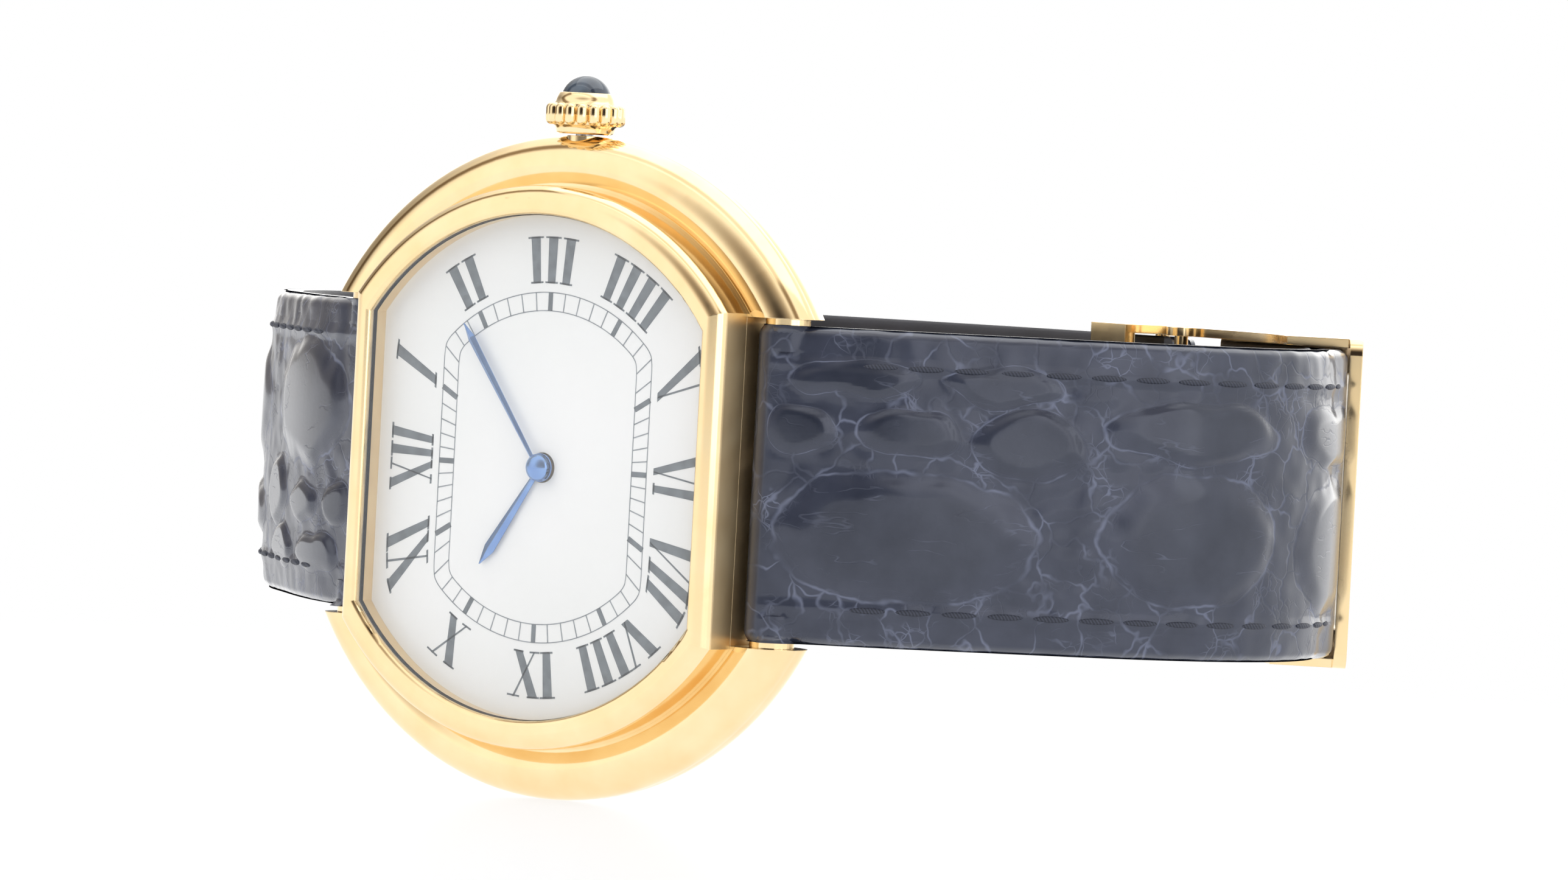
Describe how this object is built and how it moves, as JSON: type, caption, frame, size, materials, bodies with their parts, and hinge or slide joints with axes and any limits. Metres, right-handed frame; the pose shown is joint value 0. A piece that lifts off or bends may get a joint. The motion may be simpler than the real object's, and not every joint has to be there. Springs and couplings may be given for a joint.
{
  "type": "wristwatch",
  "caption": "Round-ringed dress watch with a flat-sided bezel and dial, hand-wound movement, beaded crown and a leather strap closed by a folding clasp.",
  "frame": {"origin": "centre of the case back's outer face", "axes": "+Z from 9 o'clock to the crown, -Y the way the dial faces, +X from 12 o'clock to 6 o'clock; the watch lies on the 9 o'clock edge of its case"},
  "size_m": [0.0611, 0.0429, 0.0357],
  "materials": {
    "gold": "polished yellow gold",
    "seal": "moulded",
    "crystal": "polished",
    "dial": "off-white lacquer",
    "brass": "gilt, fine brushed",
    "nickel": "nickel-plated, striped",
    "blued_steel": "heat-blued, polished",
    "ruby": "polished synthetic ruby",
    "steel": "hardened, polished",
    "cabochon": "polished synthetic spinel",
    "strap_leather": "glazed reptile-grain leather",
    "lining_leather": "smooth matt"
  },
  "bodies": {
    "case": {"case_ring": "gold", "bezel": "gold", "crystal_gasket": "seal", "crystal": "crystal", "dial": "dial", "case_back": "gold", "back_gasket": "seal", "movement_ring": "brass", "crown_tube": "gold", "main_plate": "nickel", "barrel_bridge": "nickel", "train_bridge": "nickel", "balance_cock": "nickel", "fork_bridge": "nickel", "bridge_screws": "blued_steel", "jewels": "ruby", "crown_wheel_core": "steel", "click_screw": "blued_steel", "spring_bar_12": "gold", "spring_bar_6": "gold"},
    "minute_motion": {"minute_hand": "blued_steel", "cannon_pinion": "steel"},
    "hour_motion": {"hour_hand": "blued_steel", "hour_wheel": "brass"},
    "minute_wheel": {"minute_wheel": "brass"},
    "centre_wheel": {"centre_wheel": "brass"},
    "third_wheel": {"third_wheel": "brass"},
    "fourth_wheel": {"fourth_wheel": "brass"},
    "escape_wheel": {"escape_wheel": "steel"},
    "pallet_fork": {"pallet_fork": "steel"},
    "balance": {"balance_wheel": "brass", "hairspring": "blued_steel"},
    "barrel": {"barrel_drum": "brass", "barrel_cover": "brass", "mainspring": "steel"},
    "ratchet": {"barrel_arbor": "steel", "ratchet_wheel": "steel"},
    "crown_wheel": {"crown_wheel": "steel"},
    "click": {"click": "steel"},
    "winding_work": {"winding_pinion": "steel", "sliding_pinion": "steel"},
    "setting_slide": {"setting_slide": "steel"},
    "crown": {"winding_stem": "steel", "crown": "gold", "crown_cabochon": "cabochon"},
    "strap_12": {"strap_12_upper": "strap_leather", "strap_12_lining": "lining_leather", "strap_end_bar": "gold"},
    "strap_6": {"strap_6_upper": "strap_leather", "strap_6_lining": "lining_leather", "clasp_frame": "gold", "clasp_pin_a": "gold"},
    "clasp_middle": {"clasp_middle_blade": "gold", "clasp_pin_b": "gold"},
    "clasp_base": {"clasp_base_blade": "gold"}
  },
  "joints": [
    {"name": "hand_setting", "type": "hinge", "parent": "case", "child": "minute_motion", "pos_m": [0, -0.0046, 0], "axis": [0, 1, 0], "continuous": true},
    {"name": "hour_turn", "type": "hinge", "parent": "case", "child": "hour_motion", "pos_m": [0, -0.0046, 0], "axis": [0, 1, 0], "continuous": true},
    {"name": "minute_wheel_turn", "type": "hinge", "parent": "case", "child": "minute_wheel", "pos_m": [-0.001, -0.0036, -0.00173], "axis": [0, 1, 0], "continuous": true},
    {"name": "fourth_wheel_turn", "type": "hinge", "parent": "case", "child": "fourth_wheel", "pos_m": [0.0034, -0.0021, -0.00327], "axis": [0, 1, 0], "continuous": true},
    {"name": "third_wheel_turn", "type": "hinge", "parent": "case", "child": "third_wheel", "pos_m": [0.00053, -0.0021, -0.00301], "axis": [0, 1, 0], "continuous": true},
    {"name": "centre_wheel_turn", "type": "hinge", "parent": "case", "child": "centre_wheel", "pos_m": [0, -0.0021, 0], "axis": [0, 1, 0], "continuous": true},
    {"name": "barrel_turn", "type": "hinge", "parent": "case", "child": "barrel", "pos_m": [-0.004, -0.0025, 0.00307], "axis": [0, 1, 0], "continuous": true, "deforming": ["mainspring"]},
    {"name": "escape_wheel_turn", "type": "hinge", "parent": "case", "child": "escape_wheel", "pos_m": [0.00484, -0.0024, -0.00076], "axis": [0, 1, 0], "continuous": true},
    {"name": "fork_rock", "type": "hinge", "parent": "case", "child": "pallet_fork", "pos_m": [0.00549, -0.0024, 0.00102], "axis": [0, 1, 0], "range_deg": [-5, 5]},
    {"name": "balance_swing", "type": "hinge", "parent": "case", "child": "balance", "pos_m": [0.00549, -0.002, 0.00352], "axis": [0, 1, 0], "range_deg": [-270, 270], "deforming": ["hairspring"]},
    {"name": "crown_pull", "type": "slide", "parent": "case", "child": "setting_slide", "axis": [0, 0, 1], "range_m": [0, 0.0008]},
    {"name": "crown_turn", "type": "hinge", "parent": "setting_slide", "child": "crown", "pos_m": [0, -0.0025, 0.007], "axis": [0, 0, 1], "continuous": true},
    {"name": "winding_pinion_turn", "type": "hinge", "parent": "case", "child": "winding_work", "pos_m": [0, -0.0025, 0.0078], "axis": [0, 0, 1], "continuous": true},
    {"name": "crown_wheel_turn", "type": "hinge", "parent": "case", "child": "crown_wheel", "pos_m": [0, -0.0011, 0.00572], "axis": [0, 1, 0], "continuous": true},
    {"name": "ratchet_turn", "type": "hinge", "parent": "case", "child": "ratchet", "pos_m": [-0.004, -0.0011, 0.00307], "axis": [0, 1, 0], "continuous": true},
    {"name": "click_rock", "type": "hinge", "parent": "case", "child": "click", "pos_m": [-0.00731, -0.0011, 0.00131], "axis": [0, -1, 0], "range_deg": [0, 8]},
    {"name": "strap_12_swing", "type": "hinge", "parent": "case", "child": "strap_12", "pos_m": [-0.01265, -0.00225, 0], "axis": [0, 0, 1], "range_deg": [0, 35]},
    {"name": "strap_6_swing", "type": "hinge", "parent": "case", "child": "strap_6", "pos_m": [0.01265, -0.00225, 0], "axis": [0, 0, -1], "range_deg": [0, 42]},
    {"name": "clasp_middle_fold", "type": "hinge", "parent": "strap_6", "child": "clasp_middle", "pos_m": [0.01345, 0.03166, 0], "axis": [0, 0, -1], "range_deg": [0, 87]},
    {"name": "clasp_base_fold", "type": "hinge", "parent": "clasp_middle", "child": "clasp_base", "pos_m": [0.02363, 0.02443, 0], "axis": [0, 0, 1], "range_deg": [0, 118]}
  ],
  "couplings": [
    {"joint": "hour_turn", "follows": "hand_setting", "ratio": 0.083333},
    {"joint": "minute_wheel_turn", "follows": "hand_setting", "ratio": -0.33333},
    {"joint": "third_wheel_turn", "follows": "fourth_wheel_turn", "ratio": -0.125},
    {"joint": "centre_wheel_turn", "follows": "fourth_wheel_turn", "ratio": 0.016667},
    {"joint": "barrel_turn", "follows": "fourth_wheel_turn", "ratio": -0.0027778},
    {"joint": "escape_wheel_turn", "follows": "fourth_wheel_turn", "ratio": -10},
    {"joint": "winding_pinion_turn", "follows": "crown_turn", "ratio": 1},
    {"joint": "crown_wheel_turn", "follows": "crown_turn", "ratio": -0.6},
    {"joint": "ratchet_turn", "follows": "crown_turn", "ratio": 0.42857},
    {"joint": "clasp_middle_fold", "follows": "strap_6_swing", "ratio": 2.06},
    {"joint": "clasp_base_fold", "follows": "strap_6_swing", "ratio": 2.8}
  ]
}
